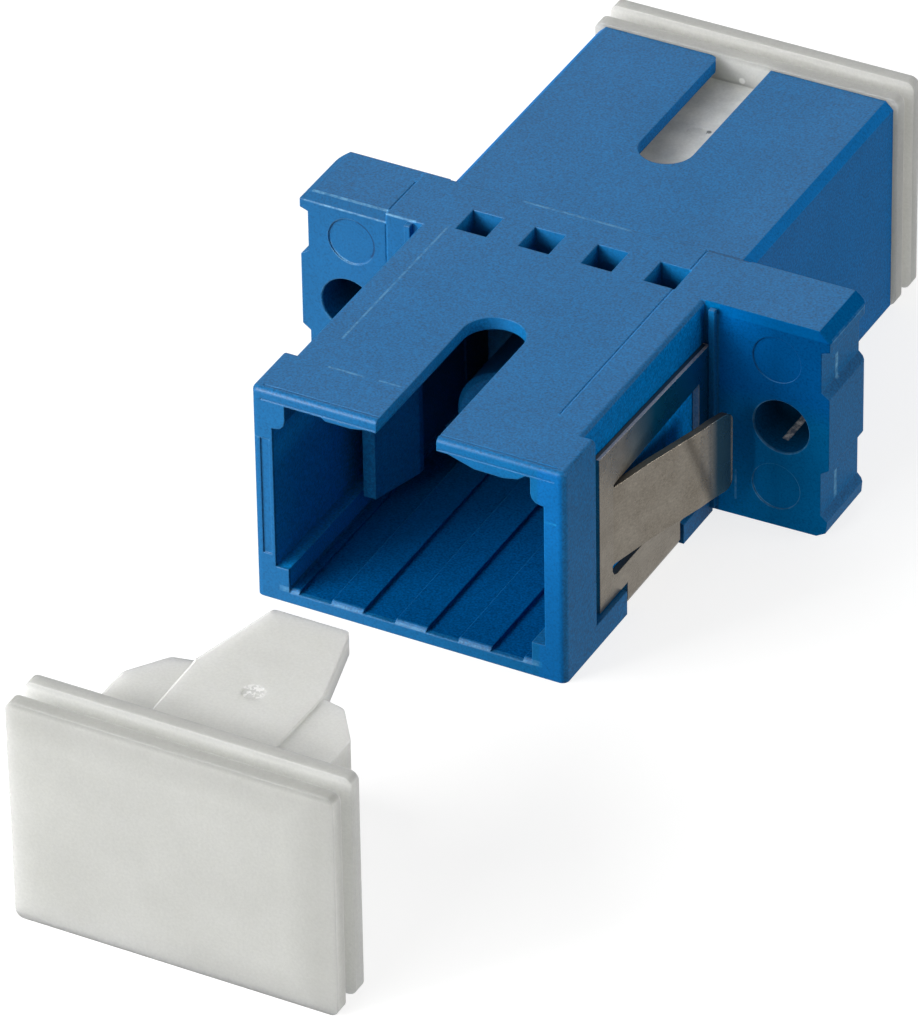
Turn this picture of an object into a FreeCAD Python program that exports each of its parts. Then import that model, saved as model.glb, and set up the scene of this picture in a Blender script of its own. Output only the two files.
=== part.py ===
import FreeCAD, Part
import Sketcher
import os

# SC fibre adapter, simplex, with panel flange.
#
# Construction frame (every sub-part is drawn in it, then placed):
#   X  across the adapter, along the flange
#   Y  along the optical axis, from the front collar face (Y = 0) to the rear face
#   Z  up, from the flat underside (Z = 0); the keyways are in the top wall
# Model frame: the same axes, with the origin on the optical axis in the plane of
# the flange's front face, which is the face that seats against a panel.

doc = FreeCAD.newDocument("adapter")
V = FreeCAD.Vector

# ------------------------------------------------------------------ dimensions
sheet = doc.addObject("Spreadsheet::Sheet", "Dims")
TABLE = [
    # housing envelope
    ("height", 9.4), ("axis_height", 4.7),
    ("collar_half", 6.5), ("collar_len", 2.5),
    ("waist_half", 6.0), ("rear_half", 6.36), ("rear_base", 0.05),
    ("seam_y", 15.6), ("rear_face_y", 28.0), ("mid_y", 14.15),
    # flange
    ("flange_half", 11.2), ("flange_front", 12.45), ("notch_half", 10.86),
    ("flange_bevel", 0.5), ("flange_back", 15.65), ("hole_x", 9.2), ("hole_r", 1.15),
    # ports
    ("port_half", 5.65), ("port_floor", 0.6), ("port_top", 8.87), ("lip_slope", 0.15),
    ("pad_half", 5.1), ("pad_low", 1.5), ("pad_high", 7.76), ("pad_round", 0.42),
    ("port_end", 12.2), ("gate_half", 5.3), ("gate_low", 1.3), ("gate_high", 8.1),
    ("groove_in", 0.65), ("groove_out", 2.0), ("groove_two_in", 3.35),
    ("groove_two_out", 4.7), ("groove_floor", 0.47),
    ("key_half", 1.25), ("key_rear_half", 1.12), ("key_front_end", 8.13), ("key_rear_end", 20.15),
    ("seat_half", 6.2), ("seat_front", 12.7),
    # moulding marks: shallow circles on the flange, parting lines, bare inset on a jamb
    ("mark_r", 1.0), ("mark_x", 9.0), ("mark_low", 1.94), ("mark_high", 7.66),
    ("mark_deep", 0.06), ("line_wide", 0.08), ("line_deep", 0.025),
    ("line_right_x", 4.56), ("line_flange_x", 7.48),
    # top windows
    ("win_in", 0.675), ("win_out", 1.975), ("win_two_in", 3.325), ("win_two_out", 4.625),
    ("win_front", 12.7), ("win_back", 14.15),
    # feet beside the clip strap
    ("foot_high", 1.05), ("foot_front_end", 5.0), ("foot_rear_start", 10.0),
    ("foot_rear_half", 6.35), ("strap_slot", 0.36),
    ("rib_in", 6.31), ("rib_out", 6.55), ("rib_front", 12.15),
    # latch core
    ("core_half", 6.1), ("core_low", 1.5), ("core_high", 7.9),
    ("arm_out", 4.87), ("arm_in", 4.32), ("arm_tip_y", 5.5),
    ("hook_crest", 3.68), ("hook_back", 8.1),
    ("tube_r", 2.2), ("tube_front", 7.95), ("lip_y", 8.35),
    ("sleeve_bore_r", 1.75), ("ferrule_hole_r", 1.42),
    ("core_win_in", 3.3), ("core_win_out", 4.25), ("core_win_low", 2.6), ("core_win_high", 6.8),
    # split sleeve
    ("sleeve_r", 1.6), ("sleeve_in_r", 1.25), ("sleeve_len", 11.4), ("sleeve_slit", 0.4),
    # mounting clip (one folded sheet)
    ("sheet_thick", 0.28), ("clip_in", 6.02), ("clip_front", 3.2), ("clip_back", 12.3),
    ("clip_low", 1.12), ("clip_top_front", 8.0), ("clip_top_back", 7.65),
    ("strap_front", 5.45), ("strap_back", 9.8), ("strap_low", 0.03), ("clip_bend", 0.3),
    ("lance_front", 4.35), ("lance_back", 11.4), ("lance_low", 2.06), ("lance_high", 6.42),
    ("tab_low", 2.65), ("tab_high", 6.1), ("tab_out", 8.0), ("tab_end", 10.8),
    # dust caps
    ("cap_half", 6.55), ("cap_high", 9.5), ("cap_plate", 0.55), ("cap_neck", 0.8),
    ("neck_inset", 0.75), ("plug_low", 0.9), ("plug_high", 8.35), ("plug_wall", 0.9),
    ("plug_half", 4.6), ("plug_base_len", 3.0), ("plug_step_half", 3.5), ("plug_step_len", 4.55),
    ("tongue_base_half", 2.55), ("tongue_base_y", 4.75), ("tongue_tip_half", 1.55),
    ("tongue_len", 8.6), ("plug_in_half", 3.7), ("gate_mark_r", 0.42), ("shoulder_x", 2.45),
    ("shoulder_step", 0.12),
    ("cap_gap", 0.05), ("loose_x", 1.87), ("loose_y", 19.35),
]


class Dim:
    """A size together with the sheet expression that gives it."""

    def __init__(self, value, text):
        self.value = float(value)
        self.text = text

    def __add__(self, other):
        other = dim(other)
        return Dim(self.value + other.value, "(%s + %s)" % (self.text, other.text))

    def __sub__(self, other):
        other = dim(other)
        return Dim(self.value - other.value, "(%s - %s)" % (self.text, other.text))

    def __mul__(self, other):
        other = dim(other)
        return Dim(self.value * other.value, "(%s * %s)" % (self.text, other.text))

    def __neg__(self):
        return Dim(-self.value, "(0 - %s)" % self.text)

    __radd__ = __add__
    __rmul__ = __mul__


def dim(number):
    if isinstance(number, Dim):
        return number
    number = float(number)
    if number < 0:
        return Dim(number, "(0 - %r)" % (-number))
    return Dim(number, "%r" % number)


D = {}
for row, (alias, value) in enumerate(TABLE, start=1):
    sheet.set("A%d" % row, alias.replace("_", " "))
    sheet.set("B%d" % row, "%g" % value)
    sheet.setAlias("B%d" % row, alias)
    D[alias] = Dim(value, "Dims.%s" % alias)
doc.recompute()

# ------------------------------------------------------------------ helpers
PLANES = {"XY": ("XY_Plane", 1), "XZ": ("XZ_Plane", -1), "YZ": ("YZ_Plane", 1)}


def new_body(name):
    body = doc.addObject("PartDesign::Body", name)
    body.Label = name
    return body


def new_sketch(body, plane, at, name):
    """Sketch on one of the body's origin planes, shifted to coordinate `at`."""
    role, sign = PLANES[plane]
    support = [o for o in body.Origin.OriginFeatures if o.Role == role][0]
    sketch = body.newObject("Sketcher::SketchObject", name)
    sketch.AttachmentSupport = (support, [""])
    sketch.MapMode = "FlatFace"
    shift = at if sign > 0 else -at
    sketch.AttachmentOffset = FreeCAD.Placement(V(0, 0, shift.value), FreeCAD.Rotation())
    sketch.setExpression("AttachmentOffset.Base.z", shift.text)
    return sketch


def fix_point(sketch, geo, pos, x, y):
    """Bind a sketch point to its two coordinates from the sheet."""
    for kind, axis, size in (("DistanceX", -2, x), ("DistanceY", -1, y)):
        if size.value == 0.0:
            sketch.addConstraint(Sketcher.Constraint("PointOnObject", geo, pos, axis))
        else:
            index = sketch.addConstraint(Sketcher.Constraint(kind, -1, 1, geo, pos, size.value))
            sketch.setExpression("Constraints[%d]" % index, size.text)


def add_polygon(sketch, points):
    points = [(dim(x), dim(y)) for x, y in points]
    count = len(points)
    ids = []
    for i in range(count):
        a, b = points[i], points[(i + 1) % count]
        ids.append(sketch.addGeometry(Part.LineSegment(V(a[0].value, a[1].value, 0),
                                                       V(b[0].value, b[1].value, 0)), False))
    for i in range(count):
        sketch.addConstraint(Sketcher.Constraint("Coincident", ids[i], 2, ids[(i + 1) % count], 1))
    for i in range(count):
        fix_point(sketch, ids[i], 1, points[i][0], points[i][1])


def add_circle(sketch, x, y, r):
    x, y, r = dim(x), dim(y), dim(r)
    geo = sketch.addGeometry(Part.Circle(V(x.value, y.value, 0), V(0, 0, 1), r.value), False)
    index = sketch.addConstraint(Sketcher.Constraint("Radius", geo, r.value))
    sketch.setExpression("Constraints[%d]" % index, r.text)
    fix_point(sketch, geo, 3, x, y)


def rect(x0, x1, y0, y1):
    return [(x0, y0), (x1, y0), (x1, y1), (x0, y1)]


def extrude(body, kind, name, plane, start, end, polygons=(), circles=()):
    """Pad or Pocket of closed outlines between two coordinates along the plane's axis."""
    start, end = dim(start), dim(end)
    sketch = new_sketch(body, plane, start, name + "_sketch")
    for polygon in polygons:
        add_polygon(sketch, polygon)
    for circle in circles:
        add_circle(sketch, *circle)
    feature = body.newObject("PartDesign::" + kind, name)
    feature.Profile = sketch
    length = end - start
    feature.Length = length.value
    feature.setExpression("Length", length.text)
    along = PLANES[plane][1] > 0
    feature.Reversed = (not along) if kind == "Pad" else along
    sketch.Visibility = False
    return feature


def round_edges(body, name, size, wanted, chamfer=False):
    """Fillet or chamfer the edges of the body's tip that `wanted` picks."""
    doc.recompute()
    base = body.Tip
    names = ["Edge%d" % (i + 1) for i, edge in enumerate(base.Shape.Edges) if wanted(edge)]
    if not names:
        raise RuntimeError("no edge found for " + name)
    feature = body.newObject("PartDesign::Chamfer" if chamfer else "PartDesign::Fillet", name)
    feature.Base = (base, names)
    size = dim(size)
    if chamfer:
        feature.Size = size.value
        feature.setExpression("Size", size.text)
    else:
        feature.Radius = size.value
        feature.setExpression("Radius", size.text)
    return feature


def near(a, b, slack=0.02):
    return abs(a - b) < slack


def curve_of(edge, kind):
    """The edge's curve when it is of that kind, or None."""
    try:
        curve = edge.Curve
    except TypeError:
        return None
    return curve if curve.TypeId == "Part::Geom" + kind else None


def is_line(edge, axis):
    """True when the edge is straight and parallel to one axis (0, 1 or 2)."""
    if curve_of(edge, "Line") is None:
        return False
    d = edge.Vertexes[-1].Point - edge.Vertexes[0].Point
    d = (d.x, d.y, d.z)
    return abs(d[axis]) > 0.05 and all(abs(d[k]) < 1e-4 for k in range(3) if k != axis)


def is_rim(edge, radius):
    """True when the edge is a circle of that radius."""
    circle = curve_of(edge, "Circle")
    return circle is not None and near(circle.Radius, radius.value)


def mid(edge):
    return edge.valueAt((edge.FirstParameter + edge.LastParameter) / 2)


def both(polygon):
    """The outline and its mirror image across X = 0."""
    return [polygon, [(-dim(x), y) for x, y in reversed(polygon)]]


# ------------------------------------------------------------------ housings
def port_outline():
    p, low, high = D["port_half"], D["pad_low"], D["pad_high"]
    q, floor, top = D["pad_half"], D["port_floor"], D["port_top"]
    r = D["pad_round"]
    right = [(q, floor), (q, low), (p, low), (p, high), (q + r, high), (q + r * 0.5, high + r * 0.134),
             (q + r * 0.134, high + r * 0.5), (q, high + r), (q, top)]
    return right + [(-x, y) for x, y in reversed(right)]


def floor_grooves():
    bottom, top = D["groove_floor"], D["port_floor"] + 0.2
    return (both(rect(D["groove_in"], D["groove_out"], bottom, top)) +
            both(rect(D["groove_two_in"], D["groove_two_out"], bottom, top)))


def make_front_housing():
    b = new_body("front_housing")
    high, waist, collar = D["height"], D["waist_half"], D["collar_half"]
    extrude(b, "Pad", "waist", "XZ", 0, D["seam_y"], [rect(-waist, waist, 0, high)])
    extrude(b, "Pad", "collar", "XZ", 0, D["collar_len"], [rect(-collar, collar, 0, high)])
    extrude(b, "Pad", "front_foot", "XZ", D["collar_len"], D["foot_front_end"],
            [rect(-collar, collar, 0, D["foot_high"])])
    half = D["foot_rear_half"]
    extrude(b, "Pad", "rear_foot", "XZ", D["foot_rear_start"], D["flange_front"],
            [[(-half, 0), (half, 0), (half, 0.85), (waist, D["foot_high"]),
              (-waist, D["foot_high"]), (-half, 0.85)]])
    f, n = D["flange_half"], D["notch_half"]
    bevel = D["flange_bevel"]
    side = [(D["foot_rear_half"], 0.12), (10.7, 0.2), (11.08, 0.42), (11.15, 0.94), (n, 1.18),
            (n, 3.08), (f, 3.32), (f, 6.5), (n, 6.74), (n, 8.52), (f, 8.64), (f, high - 0.38),
            (f - bevel, high)]
    side = [(dim(x), dim(y)) for x, y in side]
    extrude(b, "Pad", "flange", "XZ", D["flange_front"], D["flange_back"],
            [side + [(-x, y) for x, y in reversed(side)]])
    weld = D["rear_half"] + 0.02
    extrude(b, "Pocket", "weld_land", "XZ", D["seam_y"], D["flange_back"],
            [rect(-weld, weld, 0, high)])
    extrude(b, "Pad", "side_ribs", "XZ", D["rib_front"], D["flange_front"],
            both(rect(D["rib_in"], D["rib_out"], 0.35, 9.3)))
    # the flange's front top edge is bevelled, its back corners are eased
    front, back, line = D["flange_front"], D["flange_back"], D["line_flange_x"]
    extrude(b, "Pocket", "bevel_left", "YZ", -f - 0.1, -line,
            [[(front - 0.1, 8.99), (front, 8.99), (front + 0.21, high), (front - 0.1, high)]])
    extrude(b, "Pocket", "bevel_right", "YZ", D["waist_half"], f + 0.1,
            [[(front - 0.1, 9.05), (front, 9.05), (front + 0.1, high), (front - 0.1, high)]])
    extrude(b, "Pocket", "eased_corners", "XY", 0, high,
            both([(f - 0.3, back), (f - 0.15, back - 0.04), (f - 0.04, back - 0.15), (f, back - 0.3),
                  (f + 0.1, back - 0.3), (f + 0.1, back)]))
    # port, with stepped corners, and the bulkhead behind it
    extrude(b, "Pocket", "port", "XZ", 0, D["port_end"], [port_outline()])
    extrude(b, "Pocket", "floor_grooves", "XZ", 0, D["port_end"], floor_grooves())
    slope, floor = D["lip_slope"], D["port_floor"]
    extrude(b, "Pocket", "floor_lip", "YZ", -D["pad_half"], D["pad_half"],
            [[(-0.1, floor - slope), (0, floor - slope), (slope, floor), (slope, floor + 0.2),
              (-0.1, floor + 0.2)]])
    gate = rect(-D["gate_half"], D["gate_half"], D["gate_low"], D["gate_high"])
    extrude(b, "Pocket", "gate", "XZ", D["port_end"], D["seat_front"], [gate])
    extrude(b, "Pocket", "core_seat", "XZ", D["seat_front"], D["seam_y"],
            [rect(-D["seat_half"], D["seat_half"], D["gate_low"], D["gate_high"])])
    top = D["port_top"]
    extrude(b, "Pad", "key_guides", "XZ", 0, 2.3,
            [[(1.7, top), (2.8, 8.53), (4.0, 8.51), (4.6, 8.64), (4.9, top)],
             [(-3.55, top), (-3.35, 8.75), (-2.3, 8.75), (-1.7, top)]])
    # keyway open at the front, round at its inner end
    r = D["key_half"]
    centre = D["key_front_end"] - r
    extrude(b, "Pocket", "keyway", "XY", 8.0, high, [rect(-r, r, 0, centre)])
    extrude(b, "Pocket", "keyway_end", "XY", 8.2, high, circles=[(0, centre, r)])
    # four windows over the core seat
    extrude(b, "Pocket", "windows", "XY", 7.9, high,
            both(rect(D["win_in"], D["win_out"], D["win_front"], D["win_back"])) +
            both(rect(D["win_two_in"], D["win_two_out"], D["win_front"], D["win_back"])))
    extrude(b, "Pocket", "strap_slot", "XY", 0, D["strap_slot"],
            [rect(-7.0, 7.0, D["foot_front_end"], D["foot_rear_start"])])
    extrude(b, "Pocket", "screw_holes", "XZ", D["flange_front"], D["flange_back"],
            circles=[(D["hole_x"], D["axis_height"], D["hole_r"]),
                     (-D["hole_x"], D["axis_height"], D["hole_r"])])
    # moulding marks
    deep = D["mark_deep"]
    x, r = D["mark_x"], D["mark_r"]
    extrude(b, "Pocket", "ejector_marks", "XZ", D["flange_front"], D["flange_front"] + deep,
            circles=[(x, D["mark_low"], r), (-x, D["mark_low"], r),
                     (x, D["mark_high"], r), (-x, D["mark_high"], r)])
    extrude(b, "Pocket", "jamb_inset", "XZ", 0, deep, [rect(-6.16, -5.8, 2.0, 7.2)])
    w = D["line_wide"] * 0.5
    right, outer = D["line_right_x"], D["line_flange_x"]
    extrude(b, "Pocket", "parting_lines", "XY", high - D["line_deep"], high,
            [rect(right - w, right + w, 3.45, D["seam_y"]),
             rect(-outer - w, -outer + w, 12.75, 14.9),
             rect(-6.1, 6.1, 0.26, 0.34)])
    extrude(b, "Pocket", "front_lines", "XZ", 0, D["line_deep"], both(rect(1.3, 6.1, 8.92, 8.98)))
    extrude(b, "Pocket", "flange_lines", "XZ", front, front + D["line_deep"],
            [rect(-outer - w, -outer + w, 0.5, 8.9)])
    # edge rounds
    top_z = D["height"].value
    wide, tight = D["collar_half"].value, D["waist_half"].value
    round_edges(b, "collar_verticals", 0.28, lambda e: is_line(e, 2) and near(mid(e).y, 0)
                and near(abs(mid(e).x), wide))
    round_edges(b, "collar_front_top", 0.2, lambda e: is_line(e, 0) and near(mid(e).y, 0)
                and near(mid(e).z, top_z))
    round_edges(b, "waist_top", 0.24, lambda e: is_line(e, 1) and near(mid(e).z, top_z)
                and near(abs(mid(e).x), tight))
    round_edges(b, "hole_rims", 0.04, lambda e: is_rim(e, D["hole_r"]), chamfer=True)
    return b


def make_rear_housing():
    b = new_body("rear_housing")
    half, low, high = D["rear_half"], D["rear_base"], D["height"]
    start, end = D["seam_y"], D["rear_face_y"]
    extrude(b, "Pad", "shell", "XZ", start, end, [rect(-half, half, low, high)])
    inner = start + 0.4
    extrude(b, "Pocket", "gate", "XZ", start, inner,
            [rect(-D["gate_half"], D["gate_half"], D["gate_low"], D["gate_high"])])
    extrude(b, "Pocket", "port", "XZ", inner, end, [port_outline()])
    extrude(b, "Pocket", "floor_grooves", "XZ", inner, end, floor_grooves())
    r = D["key_rear_half"]
    centre = D["key_rear_end"] + r
    extrude(b, "Pocket", "keyway", "XY", 8.0, high,
            [[(-r, centre), (r, centre), (r, end), (-r - 0.32, end), (-r - 0.1, end - 0.08),
              (-r, end - 0.32)]])
    extrude(b, "Pocket", "keyway_end", "XY", 8.2, high, circles=[(0, centre, r)])
    top_z, wide = high.value, half.value
    round_edges(b, "long_top_edges", 0.32, lambda e: is_line(e, 1) and near(mid(e).z, top_z)
                and near(abs(mid(e).x), wide), chamfer=True)
    return b


# ------------------------------------------------------------------ latch cores
def make_latch_core(name):
    """Plate, sleeve holder tube and two flexible hooked arms, in one moulding."""
    b = new_body(name)
    half, low, high = D["core_half"], D["core_low"], D["core_high"]
    seat, middle = D["seat_front"], D["mid_y"]
    axis = D["axis_height"]
    extrude(b, "Pad", "plate", "XZ", seat, middle, [rect(-half, half, low, high)])
    extrude(b, "Pad", "tube", "XZ", D["tube_front"], middle, circles=[(0, axis, D["tube_r"])])
    out, inside, tip = D["arm_out"], D["arm_in"], D["arm_tip_y"]
    crest, back = D["hook_crest"], D["hook_back"]
    arm = [(out, tip), (inside + 0.04, tip), (crest, back - 0.3), (crest, back),
           (inside, back + 0.1), (inside, seat), (out, seat)]
    extrude(b, "Pad", "arms", "XY", low, high, both(arm))
    extrude(b, "Pocket", "sleeve_bore", "XZ", D["lip_y"], middle,
            circles=[(0, axis, D["sleeve_bore_r"])])
    extrude(b, "Pocket", "ferrule_hole", "XZ", D["tube_front"], D["lip_y"],
            circles=[(0, axis, D["ferrule_hole_r"])])
    extrude(b, "Pocket", "hook_windows", "XZ", seat, middle,
            both(rect(D["core_win_in"], D["core_win_out"], D["core_win_low"], D["core_win_high"])))
    front = D["tube_front"].value
    round_edges(b, "ferrule_lead_in", 0.25, lambda e: is_rim(e, D["ferrule_hole_r"])
                and near(mid(e).y, front), chamfer=True)
    round_edges(b, "tube_rim", 0.2, lambda e: is_rim(e, D["tube_r"])
                and near(mid(e).y, front), chamfer=True)
    return b


def make_sleeve():
    b = new_body("split_sleeve")
    start = D["mid_y"] - D["sleeve_len"] * 0.5
    end = D["mid_y"] + D["sleeve_len"] * 0.5
    axis = D["axis_height"]
    extrude(b, "Pad", "tube", "XZ", start, end, circles=[(0, axis, D["sleeve_r"])])
    extrude(b, "Pocket", "bore", "XZ", start, end, circles=[(0, axis, D["sleeve_in_r"])])
    half = D["sleeve_slit"] * 0.5
    extrude(b, "Pocket", "slit", "XZ", start, end, [rect(-half, half, axis - 2.0, axis - 1.0)])
    return b


# ------------------------------------------------------------------ mounting clip
def make_clip():
    """One strip of spring steel: a strap under the waist, two side plates, two lanced tabs."""
    b = new_body("mounting_clip")
    inside, thick = D["clip_in"], D["sheet_thick"]
    outside = inside + thick
    low, bend = D["strap_low"], D["clip_bend"]
    # strap and the two short legs beside it, bevelled round the bends
    right = [(inside, D["clip_low"] + 0.2), (outside, D["clip_low"] + 0.2), (outside, low + bend),
             (outside - bend * 0.3, low + bend * 0.3), (outside - bend, low)]
    back = [(inside, low + thick)]
    profile = right + [(-x, y) for x, y in reversed(right)] + [(-inside, low + thick)] + back
    extrude(b, "Pad", "strap", "XZ", D["strap_front"], D["strap_back"], [profile])
    front, rear = D["clip_front"], D["clip_back"]
    plate = [(front, D["clip_low"]), (rear, D["clip_low"]), (rear, D["clip_top_back"]),
             (front, D["clip_top_front"])]
    extrude(b, "Pad", "plate_right", "YZ", inside, outside, [plate])
    extrude(b, "Pad", "plate_left", "YZ", -outside, -inside, [plate])
    at, low_z = D["lance_front"], D["lance_low"]
    hole = [(at, D["tab_low"]), (at - 0.13, D["tab_low"] - 0.05), (at - 0.13, low_z + 0.3),
            (at, low_z + 0.1), (at + 0.25, low_z), (D["lance_back"], low_z),
            (D["lance_back"], D["lance_high"]), (at, D["lance_high"] - 0.2)]
    extrude(b, "Pocket", "lance_right", "YZ", inside - 0.1, outside + 0.1, [hole])
    extrude(b, "Pocket", "lance_left", "YZ", -outside - 0.1, -inside + 0.1, [hole])
    # tab: leaves the plate at the front of its window and flares outwards to the rear
    out, end = D["tab_out"], D["tab_end"]
    face = [(outside, D["lance_front"] - 0.05), (outside + 0.48, dim(6.36)), (outside + 1.05, dim(8.36)),
            (outside + 1.24, dim(9.0)), (out - 0.32, dim(9.65)), (out - 0.2, dim(10.08)), (out, end)]
    under = [(inside, D["lance_front"] - 0.05), (outside + 0.2, dim(6.42)), (outside + 0.77, dim(8.43)),
             (outside + 0.96, dim(9.07)), (out - thick - 0.32, dim(9.72)), (out - thick - 0.2, dim(10.14)),
             (out - thick, end)]
    extrude(b, "Pad", "tabs", "XY", D["tab_low"], D["tab_high"], both(face + list(reversed(under))))
    stop = end.value
    round_edges(b, "tab_corners", 0.4, lambda e: is_line(e, 0) and near(mid(e).y, stop))
    return b


# ------------------------------------------------------------------ dust caps
def make_cap(name):
    """Two grip plates, a neck between them and a hollow stepped plug with two tongues.

    Drawn with the plug along +Y from the inner plate's back face at Y = 0."""
    b = new_body(name)
    half, high, plate, neck = D["cap_half"], D["cap_high"], D["cap_plate"], D["cap_neck"]
    full = rect(-half, half, 0, high)
    inset = D["neck_inset"]
    outer_start = -(plate + neck + plate)
    extrude(b, "Pad", "inner_plate", "XZ", -plate, 0, [full])
    extrude(b, "Pad", "neck", "XZ", -(plate + neck), -plate,
            [rect(-half + inset, half - inset, inset, high - inset)])
    extrude(b, "Pad", "outer_plate", "XZ", outer_start, -(plate + neck), [full])
    right = [(D["plug_half"], 0), (D["plug_half"], D["plug_base_len"]),
             (D["plug_step_half"], D["plug_step_len"]), (D["tongue_base_half"], D["tongue_base_y"]),
             (D["tongue_tip_half"], D["tongue_len"])]
    right = [(dim(x), dim(y)) for x, y in right]
    extrude(b, "Pad", "plug", "XY", D["plug_low"], D["plug_high"],
            [right + [(-x, y) for x, y in reversed(right)]])
    wall = D["plug_wall"]
    extrude(b, "Pocket", "plug_hollow", "XZ", 0.9, 9.0,
            [rect(-D["plug_in_half"], D["plug_in_half"], D["plug_low"] + wall, D["plug_high"] - wall)])
    top = D["plug_high"]
    extrude(b, "Pocket", "gate_mark", "XY", top - D["mark_deep"], top,
            circles=[(0.22, 3.85, D["gate_mark_r"])])
    x = D["shoulder_x"]
    extrude(b, "Pocket", "shoulders", "XY", top - D["shoulder_step"], top,
            both([(x, 0), (5.0, 0), (5.0, 5.0), (D["tongue_base_half"] + 0.02, 5.0)]))
    h, t = high.value, half.value
    round_edges(b, "plate_corners", 0.35, lambda e: is_line(e, 1)
                and near(abs(mid(e).x), t) and (near(mid(e).z, 0) or near(mid(e).z, h)))
    base, step = D["plug_base_len"].value, D["plug_step_len"].value
    round_edges(b, "shoulder_rounds", 0.4, lambda e: is_line(e, 2)
                and (near(mid(e).y, base) or near(mid(e).y, step)) and abs(mid(e).x) > 3.0)
    tip = D["tongue_len"].value
    round_edges(b, "tongue_corners", 0.2, lambda e: is_line(e, 2)
                and near(mid(e).y, tip))
    return b


# ------------------------------------------------------------------ assembly
TURN = FreeCAD.Rotation(V(0, 0, 1), 180)
STRAIGHT = FreeCAD.Rotation()


def place(body, x, y, z, rotation=STRAIGHT):
    """Put a sub-part into the model frame; each coordinate follows the sheet."""
    x, y, z = dim(x), dim(y), dim(z)
    body.Placement = FreeCAD.Placement(V(x.value, y.value, z.value), rotation)
    body.setExpression("Placement.Base.x", x.text)
    body.setExpression("Placement.Base.y", y.text)
    body.setExpression("Placement.Base.z", z.text)
    return body


lift = -D["axis_height"]
shift = -D["flange_front"]
bodies = [
    place(make_front_housing(), 0, shift, lift),
    place(make_rear_housing(), 0, shift, lift),
    place(make_latch_core("front_latch_core"), 0, shift, lift),
    place(make_latch_core("rear_latch_core"), 0, D["mid_y"] * 2 + shift, lift, TURN),
    place(make_sleeve(), 0, shift, lift),
    place(make_clip(), 0, shift, lift),
    place(make_cap("front_dust_cap"), D["loose_x"], -D["loose_y"] + shift, lift),
    place(make_cap("rear_dust_cap"), 0, D["rear_face_y"] + D["cap_gap"] + shift, lift, TURN),
]
doc.recompute()

# ------------------------------------------------------------------ tests
for obj in doc.Objects:
    if "Invalid" in obj.State or "Error" in obj.State:
        raise RuntimeError("%s did not compute: %s" % (obj.Name, obj.State))
for body in bodies:
    before = 0.0
    for feature in body.Group:
        if feature.TypeId in ("PartDesign::Pad", "PartDesign::Pocket"):
            volume = feature.Shape.Volume
            grew = volume - before
            if feature.TypeId == "PartDesign::Pad" and grew < 1e-4:
                raise RuntimeError("%s.%s adds nothing" % (body.Name, feature.Name))
            if feature.TypeId == "PartDesign::Pocket" and grew > -1e-4:
                raise RuntimeError("%s.%s cuts nothing" % (body.Name, feature.Name))
            before = volume
        elif feature.TypeId in ("PartDesign::Fillet", "PartDesign::Chamfer"):
            before = feature.Shape.Volume
    shape = body.Shape
    if shape.isNull() or not shape.isValid() or len(shape.Solids) != 1:
        raise RuntimeError("%s is not one valid solid" % body.Name)

os.makedirs("parts", exist_ok=True)
for body in bodies:
    body.Shape.exportStep("parts/%s.step" % body.Label)
    box = body.Shape.BoundBox
    print("%-18s volume %8.2f mm3  x %.2f..%.2f  y %.2f..%.2f  z %.2f..%.2f" % (
        body.Label, body.Shape.Volume, box.XMin, box.XMax, box.YMin, box.YMax, box.ZMin, box.ZMax))
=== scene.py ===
import math
import bpy
from mathutils import Matrix, Vector


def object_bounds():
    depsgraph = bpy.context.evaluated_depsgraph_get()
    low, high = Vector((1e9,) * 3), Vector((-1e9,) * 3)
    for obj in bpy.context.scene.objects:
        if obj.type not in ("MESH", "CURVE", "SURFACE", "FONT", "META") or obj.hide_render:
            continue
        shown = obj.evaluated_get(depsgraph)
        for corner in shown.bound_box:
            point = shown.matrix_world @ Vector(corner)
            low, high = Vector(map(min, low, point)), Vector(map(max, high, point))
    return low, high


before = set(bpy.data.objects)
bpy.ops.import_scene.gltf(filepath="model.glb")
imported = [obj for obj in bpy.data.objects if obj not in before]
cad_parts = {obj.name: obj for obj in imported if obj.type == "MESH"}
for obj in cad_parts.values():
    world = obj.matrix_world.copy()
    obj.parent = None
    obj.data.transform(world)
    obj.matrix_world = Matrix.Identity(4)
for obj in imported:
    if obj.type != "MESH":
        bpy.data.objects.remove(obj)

cad_low, cad_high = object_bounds()
MM = 0.001
scene = bpy.context.scene
scene.view_settings.view_transform = "Standard"
scene.view_settings.look = "None"


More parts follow.
